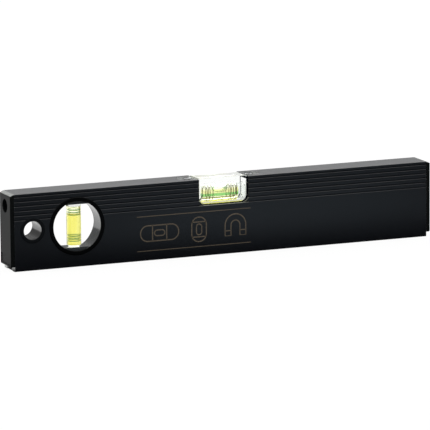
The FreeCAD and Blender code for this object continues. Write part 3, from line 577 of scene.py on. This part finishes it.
finishes = {
    "black_anodised": makeBlackAnodised(),
    "cap_plastic": makeMouldedPlastic("greyCapAbs", {
        "dark": "#0f1111", "light": "#141717", "grain": 0.25, "cloud": 12.0,
        "roughness": 0.44, "relief": 0.4, "specular": 0.1, "coat": 0.0,
        # painted highlight colour for the top, and the height it starts at
        "paintedTopLight": "#8c8e8c", "paintedTopFrom": 49.4,
    }),
    "frame_plastic": makeMouldedPlastic("blackFrameAbs", {
        "dark": "#3d4144", "light": "#45494c", "grain": 0.4, "cloud": 10.0,
        "roughness": 0.15, "relief": 0.1, "specular": 0.8, "coat": 0.6,
        "flangeFrom": 9.9, "flange": "#060708",
    }),
    "clear_acrylic": castAcrylic,
    "vial_liquid": mainSpirit,
    "ring_ink": mainInk,
    "white_plastic": makeMilkyPlastic(),
    "plated_steel": makeSteel("zincPlatedSteel", {
        "dark": "#a9abad", "light": "#c9cbcc", "roughness": 0.3, "scratch": (0.3, 0.3, 0.3),
    }),
    "pole_steel": makeSteel("coldRolledSteel", {
        "dark": "#7d7f80", "light": "#9a9c9d", "roughness": 0.36, "scratch": (30.0, 0.15, 0.15),
    }),
    "magnet": makeMouldedPlastic("bondedFerrite", {
        "dark": "#26221f", "light": "#302b28", "grain": 0.5, "cloud": 8.0,
        "roughness": 0.62, "relief": 0.5, "specular": 0.3, "coat": 0.0,
    }),
}
bushPlastic = makeMouldedPlastic("blackBushAbs", {
    "dark": "#08090a", "light": "#0c0d0e", "grain": 0.4, "cloud": 10.0,
    "roughness": 0.12, "relief": 0.05, "specular": 0.7, "coat": 0.6,
    "flangeFrom": 9.9, "flange": "#15181b",
})
slotOf = {entry["node"]: entry["material_slot"] for entry in frame["record"]["subparts"]}
for nodeName, item in cadNodes.items():
    finish = bushPlastic if nodeName.startswith("hang_bush") else finishes[slotOf[nodeName]]
    for place in range(len(item.material_slots)):
        item.material_slots[place].link = "OBJECT"
        item.material_slots[place].material = finish
print("materials on", len(cadNodes), "CAD nodes")


# The two vials


def barrelRadius(along, middle, sagitta, span):
    # the wall is fullest at the middle and falls by the sagitta half a span away, as the distance squared
    return middle - sagitta * (2 * along / span) ** 2


def lineRings(size, middle, span):
    # reading lines: thin bands lying in the vial's wall, three on either side of its middle
    rings = []
    for side in (-1, 1):
        for number in range(3):
            place = side * (size["lineFirst"] + size["linePitch"] * number)
            wall = barrelRadius(place, middle, size["sagitta"], span)
            left = place - size["lineWidth"] / 2
            right = place + size["lineWidth"] / 2
            rings.append(ringGrid([
                (left, wall + size["lineFoot"]), (left, wall + size["lineTop"]),
                (right, wall + size["lineTop"]), (right, wall + size["lineFoot"]),
            ], size["columns"]))
    return rings


def mainVial():
    # the clear block's spirit with its bubble, reading lines and plug, turned about the bar's own direction
    size = {
        "radius": 5.9, "sagitta": 0.2, "lap": 0.02, "steps": 48, "columns": 128,
        "bubbleLength": 11.2, "bubbleHeight": 6.2, "bubbleWidth": 9.4, "bubbleMiddle": -0.2,
        "crownPass": 0.15, "film": 0.04, "squareAlong": 2.4, "squareAcross": 5.0, "plugBevel": 0.2,
        "lineFirst": 6.3, "linePitch": 2.1, "lineWidth": 0.46, "lineFoot": 0.05, "lineTop": 0.13,
    }
    low, high = boxOf("main_vial_liquid")
    plugLow, plugHigh = boxOf("main_vial_plug")
    span = high[0] - low[0]
    middle = size["radius"]
    # the barrel is fullest halfway along the bar, and its chamber reaches further to the left
    centre = np.array([0, (plugLow[1] + plugHigh[1]) / 2, (plugLow[2] + plugHigh[2]) / 2])
    # spirit: the barrel, out from one end's centre and back to the other's
    along = np.linspace(low[0] - size["lap"], high[0] + size["lap"], size["steps"])
    radius = barrelRadius(along, middle + size["lap"], size["sagitta"], span)
    profile = np.vstack([[(along[0], 0)], np.column_stack([along, radius]), [(along[-1], 0)]])
    body = ringGrid(profile, size["columns"]) + centre
    # bubble: a box whose corners are rounded by powers, its crown pressed against the barrel's wall:
    # |along| to squareAlong and |across| to squareAcross, each as a share of its half-length
    turn = np.linspace(0, math.pi, size["steps"])[:, None]
    angle = np.linspace(0, 2 * math.pi, size["columns"], endpoint=False)[None, :]
    bow = np.abs(np.cos(turn)) ** (2 / size["squareAlong"]) * np.sign(np.cos(turn))
    rim = np.sin(turn) ** (2 / size["squareAlong"])
    across = np.abs(np.cos(angle)) ** (2 / size["squareAcross"]) * np.sign(np.cos(angle))
    upward = np.abs(np.sin(angle)) ** (2 / size["squareAcross"]) * np.sign(np.sin(angle))
    bubble = np.empty((size["steps"], size["columns"], 3))
    x = -bow * size["bubbleLength"] / 2 + size["bubbleMiddle"]
    y = rim * across * size["bubbleWidth"] / 2
    crown = middle + size["crownPass"] - size["bubbleHeight"] / 2
    z = crown + rim * upward * size["bubbleHeight"] / 2
    inner = barrelRadius(x, middle - size["film"], size["sagitta"], span)
    bubble[..., 0] = x
    bubble[..., 1] = y
    bubble[..., 2] = np.minimum(z, np.sqrt(np.maximum(inner ** 2 - y ** 2, 0)))
    buildPiece(
        "mainVialSpirit", [body, bubble + centre], mainSpirit, ["main_vial_liquid"],
        inward=[1],
    )
    bands = [ring + centre for ring in lineRings(size, middle, span)]
    buildPiece("mainVialLines", bands, mainInk, ["main_vial_lines"], loops=range(len(bands)))
    plugRadius = (plugHigh[1] - plugLow[1]) / 2 + size["lap"]
    left = plugLow[0]
    right = plugHigh[0] - size["lap"] * 2
    bevel = size["plugBevel"]
    section = [
        (left, 0), (left, plugRadius), (right - bevel, plugRadius), (right, plugRadius - bevel), (right, 0),
    ]
    plug = ringGrid(section, size["columns"]) + [0, centre[1], centre[2]]
    buildPiece("mainVialPlug", [plug], castAcrylic, ["main_vial_plug"], sharp=25)


def plumbVial():
    # the upright vial's spirit, lines and plug, turned about X and then stood up
    size = {
        "sagitta": 0.15, "lap": 0.02, "steps": 40, "columns": 96,
        "bubble": 5.4, "film": 0.1, "meniscus": 1.0, "climbSteps": 16, "plugBevel": 0.2,
        "lineFirst": 6.9, "linePitch": 1.75, "lineWidth": 0.48, "lineFoot": 0.03, "lineTop": 0.13,
    }
    tubeLow, tubeHigh = boxOf("plumb_vial_tube")
    liquidLow, liquidHigh = boxOf("plumb_vial_liquid")
    plugLow, plugHigh = boxOf("plumb_vial_plug")
    centre = (tubeLow + tubeHigh) / 2
    span = tubeHigh[2] - tubeLow[2]
    bottom = liquidLow[2] - centre[2]
    top = liquidHigh[2] - centre[2]
    middle = (liquidHigh[1] - liquidLow[1]) / 2

    def standUp(grid):
        # x becomes z and z becomes minus x, and then the vial's middle is added
        return np.stack([-grid[..., 2], grid[..., 1], grid[..., 0]], -1) + centre

    along = np.linspace(bottom, top, size["steps"])
    outer = np.column_stack([along, barrelRadius(along, middle + size["lap"], size["sagitta"], span)])
    surface = top - size["bubble"]
    side = middle - size["sagitta"] - size["film"]
    turn = np.linspace(0, math.pi / 2, size["climbSteps"])
    # the surface runs level from the middle and climbs the wall in a quarter circle
    climb = np.column_stack([
        surface + size["meniscus"] * (1 - np.cos(turn)),
        side - size["meniscus"] * (1 - np.sin(turn)),
    ])
    profile = np.vstack([[(bottom, 0)], outer, [(top, side)], climb[::-1], [(surface, 0)]])
    spirit = standUp(ringGrid(profile, size["columns"]))
    buildPiece("plumbVialSpirit", [spirit], plumbSpirit, ["plumb_vial_liquid"])
    bands = [standUp(ring) for ring in lineRings(size, middle, span)]
    buildPiece("plumbVialLines", bands, plumbInk, ["plumb_vial_lines"], loops=range(len(bands)))
    plugRadius = (plugHigh[1] - plugLow[1]) / 2 - size["lap"]
    low = plugLow[2] - centre[2] + size["lap"]
    high = plugHigh[2] - centre[2] - size["lap"]
    bevel = size["plugBevel"]
    section = [(low, 0), (low, plugRadius - bevel), (low + bevel, plugRadius), (high, plugRadius), (high, 0)]
    plug = standUp(ringGrid(section, size["columns"]))
    buildPiece(
        "plumbVialPlug", [plug], finishes["white_plastic"], ["plumb_vial_plug"], sharp=25,
    )


mainVial()
plumbVial()
print("vials filled")


# Print on the front face: plain signs for the level's own parts, with no lettering


def flatBar(points, width, depths, closed=False):
    # each row is a point of the path moved by half the width to either side,
    # at the front depth and at the back one
    points = np.asarray(points, float)
    if closed:
        along = np.roll(points, -1, 0) - np.roll(points, 1, 0)
    else:
        along = np.gradient(points, axis=0)
    along /= np.linalg.norm(along, axis=1)[:, None]
    side = np.column_stack([-along[:, 1], along[:, 0]]) * width / 2
    rows = np.empty((len(points), 4, 3))
    for corner, (share, depth) in enumerate([(1, 0), (-1, 0), (-1, 1), (1, 1)]):
        rows[:, corner, 0::2] = points + side * share
        rows[:, corner, 1] = depths[depth]
    if closed:
        return rows
    ends = [np.repeat(rows[end:end + 1].mean(1, keepdims=True), 4, 1) for end in (0, len(rows) - 1)]
    return np.concatenate([ends[0], rows, ends[1]])


def roundedPath(centre, half, radius, steps=10):
    # a rectangle with these half-lengths, whose corners are quarter circles:
    # centre plus half less radius, plus radius times cosine and sine
    turn = np.linspace(0, math.pi / 2, steps)
    parts = []
    for number, (x, z) in enumerate([(1, 1), (-1, 1), (-1, -1), (1, -1)]):
        angle = turn + number * math.pi / 2
        corner = np.array([x * (half[0] - radius), z * (half[1] - radius)]) + centre
        parts.append(corner + radius * np.column_stack([np.cos(angle), np.sin(angle)]))
    return np.concatenate(parts)


def frontPrint():
    # a lying vial, a standing vial and a horseshoe magnet between two rules
    size = {
        "proud": 0.02, "sunk": 0.02, "line": 0.75, "rule": 0.5,
        "left": -62.0, "right": 19.0, "ruleFoot": 6.5, "ruleTop": 29.5,
        "lying": (-46.0, 18.0), "lyingHalf": (13.5, 5.2),
        "standing": (-18.0, 18.0), "standingHalf": (5.2, 8.2),
        "bubble": (3.6, 1.9), "tick": 5.0, "roundShare": 0.98,
        "magnet": (8.0, 19.0), "magnetOuter": 7.4, "magnetInner": 3.2,
        "legs": 7.0, "tip": 3.4, "archSteps": 24,
    }
    face = boxOf("body_extrusion")[0][1]
    depths = (face - size["proud"], face + size["sunk"])
    bars = []
    rings = []
    for height in (size["ruleFoot"], size["ruleTop"]):
        bars.append(flatBar([(size["left"], height), (size["right"], height)], size["rule"], depths))
    for middle, half, upright in (
        (size["lying"], size["lyingHalf"], False), (size["standing"], size["standingHalf"], True),
    ):
        bubble = size["bubble"][::-1] if upright else size["bubble"]
        for shape in (half, bubble):
            path = roundedPath(middle, shape, min(shape) * size["roundShare"])
            rings.append(flatBar(path, size["line"], depths, closed=True))
        for side in (-1, 1):
            if upright:
                z = middle[1] + side * size["tick"]
                ends = [(middle[0] - half[0], z), (middle[0] + half[0], z)]
            else:
                x = middle[0] + side * size["tick"]
                ends = [(x, middle[1] - half[1]), (x, middle[1] + half[1])]
            bars.append(flatBar(ends, size["line"], depths))
    # horseshoe: its outline goes up one side, over in a half circle, and back round the inside
    turn = np.linspace(0, math.pi, size["archSteps"])
    arch = np.column_stack([np.cos(turn), np.sin(turn)])
    foot = -size["legs"]
    outer = size["magnetOuter"]
    inner = size["magnetInner"]
    path = np.vstack([
        [(outer, foot)], arch * outer, [(-outer, foot)],
        [(-inner, foot)], arch[::-1] * inner, [(inner, foot)],
    ])
    rings.append(flatBar(path + size["magnet"], size["line"], depths, closed=True))
    for side in (-1, 1):
        z = size["magnet"][1] + foot + size["tip"]
        ends = sorted([side * inner, side * outer])
        bars.append(flatBar([(size["magnet"][0] + end, z) for end in ends], size["line"], depths))
    grids = rings + bars
    buildPiece("frontPrint", grids, makePadPrint(), loops=range(len(rings)), sharp=30)


frontPrint()
print("front face printed")


# Floor, lamps and camera; sizes of the floor and the lamps are in metres


def makeFloor():
    # plain white table: the camera and the glass see its own white, with a little of the shadow left in it;
    # gloss sees it bright behind the level, and dark in front with one soft cool pool of light on it,
    # which begins a little before the level and fades from its middle as a smooth step of
    # the distance, in shares of its reach
    look = {
        "half": 6.0, "lit": 0.45, "seen": 0.9, "white": 1.06, "cool": "#e0f2ff",
        "glossBack": 0.9, "frontEdge": -0.005, "backEdge": 0.02,
        "pool": 0.84, "poolMiddle": (0.07, -0.114, 0.0), "poolReach": (0.33, 0.068, 1.0),
        "poolStart": -0.04, "poolFull": -0.08,
    }
    material, tree, where = startMaterial("whiteTable")
    light = addNode(tree, "ShaderNodeLightPath")
    depth = addNode(tree, "ShaderNodeSeparateXYZ", links={"Vector": where}).outputs["Y"]
    apart = addNode(tree, "ShaderNodeVectorMath", {"operation": "SUBTRACT", 1: look["poolMiddle"]}, {
        0: where,
    })
    apart = addNode(tree, "ShaderNodeVectorMath", {"operation": "DIVIDE", 1: look["poolReach"]}, {
        0: apart.outputs[0],
    })
    apart = addNode(tree, "ShaderNodeVectorMath", {"operation": "LENGTH"}, {0: apart.outputs[0]})
    pool = addNode(tree, "ShaderNodeMapRange", {
        "interpolation_type": "SMOOTHSTEP", 1: 0.0, 2: 1.0, 3: look["pool"], 4: 0.0,
    }, {"Value": apart.outputs["Value"]})
    shade = addNode(tree, "ShaderNodeMapRange", {
        1: look["poolStart"], 2: look["poolFull"], 3: 0.0, 4: 1.0,
    }, {"Value": depth})
    front = addNode(tree, "ShaderNodeMath", {"operation": "MULTIPLY"}, {
        0: pool.outputs[0], 1: shade.outputs[0],
    })
    behind = addNode(tree, "ShaderNodeMapRange", {
        1: look["frontEdge"], 2: look["backEdge"], 3: 0.0, 4: look["glossBack"],
    }, {"Value": depth})
    gloss = addNode(tree, "ShaderNodeMath", {"operation": "MAXIMUM"}, {
        0: front.outputs[0], 1: behind.outputs[0],
    })
    seen = addNode(tree, "ShaderNodeMath", {"operation": "MAXIMUM"}, {
        0: light.outputs["Is Camera Ray"], 1: light.outputs["Is Transmission Ray"],
    })
    strength = addNode(tree, "ShaderNodeMix", {3: look["white"]}, {0: seen.outputs[0], 2: gloss.outputs[0]})
    share = addNode(tree, "ShaderNodeMath", {"operation": "MULTIPLY", 1: look["seen"]}, {0: seen.outputs[0]})
    share = addNode(tree, "ShaderNodeMath", {"operation": "MAXIMUM"}, {
        0: share.outputs[0], 1: light.outputs["Is Glossy Ray"],
    })
    lit = addNode(tree, "ShaderNodeBsdfDiffuse", {"Color": (look["lit"],) * 3 + (1.0,)})
    unseen = addNode(tree, "ShaderNodeMath", {"operation": "SUBTRACT", 0: 1.0}, {1: seen.outputs[0]})
    cool = addNode(tree, "ShaderNodeMath", {"operation": "MULTIPLY"}, {
        0: unseen.outputs[0], 1: shade.outputs[0],
    })
    colour = addNode(tree, "ShaderNodeMix", {
        "data_type": "RGBA", 6: white, 7: hexColour(look["cool"]),
    }, {0: cool.outputs[0]})
    own = addNode(tree, "ShaderNodeEmission", links={
        "Color": colour.outputs[2], "Strength": strength.outputs[0],
    })
    both = addNode(tree, "ShaderNodeMixShader", links={
        0: share.outputs[0], 1: lit.outputs[0], 2: own.outputs[0],
    })
    endMaterial(tree, both)
    half = look["half"]
    corners = [(-half, -half, 0), (half, -half, 0), (half, half, 0), (-half, half, 0)]
    mesh = bpy.data.meshes.new("tableTop")
    mesh.from_pydata(corners, [], [(0, 1, 2, 3)])
    mesh.materials.append(material)
    floor = bpy.data.objects.new("tableTop", mesh)
    bpy.context.scene.collection.objects.link(floor)


def makeWorld():
    # a studio: a wide soft ceiling, brightest behind and overhead, and dim walls above the table;
    # the camera sees plain white, and the glass most of it
    look = {
        "wall": 0.21, "ceiling": 2.0, "wallTop": 0.4, "ceilingFoot": 0.58,
        "frontShare": 0.3, "frontEdge": -0.6, "backEdge": 0.3, "throughGlass": 0.7,
    }
    world = bpy.data.worlds.new("paleRoom")
    world.use_nodes = True
    tree = world.node_tree
    tree.nodes.clear()
    towards = addNode(tree, "ShaderNodeSeparateXYZ", links={
        "Vector": addNode(tree, "ShaderNodeTexCoord").outputs["Generated"],
    })
    height = addNode(tree, "ShaderNodeMapRange", {
        "interpolation_type": "SMOOTHSTEP",
        1: look["wallTop"], 2: look["ceilingFoot"], 3: look["wall"], 4: look["ceiling"],
    }, {"Value": towards.outputs["Z"]})
    depth = addNode(tree, "ShaderNodeMapRange", {
        1: look["frontEdge"], 2: look["backEdge"], 3: look["frontShare"], 4: 1.0,
    }, {"Value": towards.outputs["Y"]})
    room = addNode(tree, "ShaderNodeMath", {"operation": "MULTIPLY"}, {
        0: height.outputs[0], 1: depth.outputs[0],
    })
    light = addNode(tree, "ShaderNodeLightPath")
    through = addNode(tree, "ShaderNodeMath", {"operation": "MULTIPLY", 1: look["throughGlass"]}, {
        0: light.outputs["Is Transmission Ray"],
    })
    seen = addNode(tree, "ShaderNodeMath", {"operation": "MAXIMUM"}, {
        0: light.outputs["Is Camera Ray"], 1: through.outputs[0],
    })
    level = addNode(tree, "ShaderNodeMix", {3: 1.0}, {0: seen.outputs[0], 2: room.outputs[0]})
    back = addNode(tree, "ShaderNodeBackground", {"Color": white}, {"Strength": level.outputs[0]})
    addNode(tree, "ShaderNodeOutputWorld", links={"Surface": back.outputs[0]})
    bpy.context.scene.world = world


def makeLamp(name, look):
    # a soft box that faces its aim point
    lamp = bpy.data.lights.new(name, "AREA")
    lamp.shape = "RECTANGLE"
    lamp.size, lamp.size_y = look["width"], look["height"]
    lamp.energy = look["watts"]
    item = bpy.data.objects.new(name, lamp)
    bpy.context.scene.collection.objects.link(item)
    item.location = look["place"]
    item.rotation_euler = (Vector(look["aim"]) - Vector(look["place"])).to_track_quat("-Z", "Y").to_euler()


def makeCamera():
    # the photograph's view: long lens, from the left and a little above
    view = {
        "azimuth": -22.58, "elevation": 10.47, "roll": -0.480,
        "aim": (-2.40, 0.0, 24.68), "distance": 3054.9, "farthest": 50000.0, "lens": 386.7,
    }
    side, lift, roll = (math.radians(view[key]) for key in ("azimuth", "elevation", "roll"))
    back = Vector((math.sin(side) * math.cos(lift), -math.cos(side) * math.cos(lift), math.sin(lift)))
    level = (-back).cross(Vector((0, 0, 1))).normalized()
    upright = level.cross(-back)
    right = level * math.cos(roll) + upright * math.sin(roll)
    up = upright * math.cos(roll) - level * math.sin(roll)
    camera = bpy.data.objects.new("photoCamera", bpy.data.cameras.new("photoCamera"))
    camera.data.lens = view["lens"]
    camera.data.clip_end = view["farthest"] * mm
    bpy.context.scene.collection.objects.link(camera)
    place = Vector(view["aim"]) * mm + back * view["distance"] * mm
    camera.matrix_world = Matrix.Translation(place) @ Matrix((right, up, back)).transposed().to_4x4()
    bpy.context.scene.camera = camera


makeFloor()
makeWorld()
makeLamp("overheadBox", {
    "place": (0.6, -0.1, 1.5), "aim": (0, 0, 0), "width": 1.2, "height": 0.8, "watts": 5.0,
})
makeLamp("backBox", {"place": (0.3, 1.2, 1.2), "aim": (0, 0, 0), "width": 1.6, "height": 0.6, "watts": 9.0})
makeCamera()
bpy.context.scene.view_settings.view_transform = "Standard"
print("stage, lamps and camera ready")
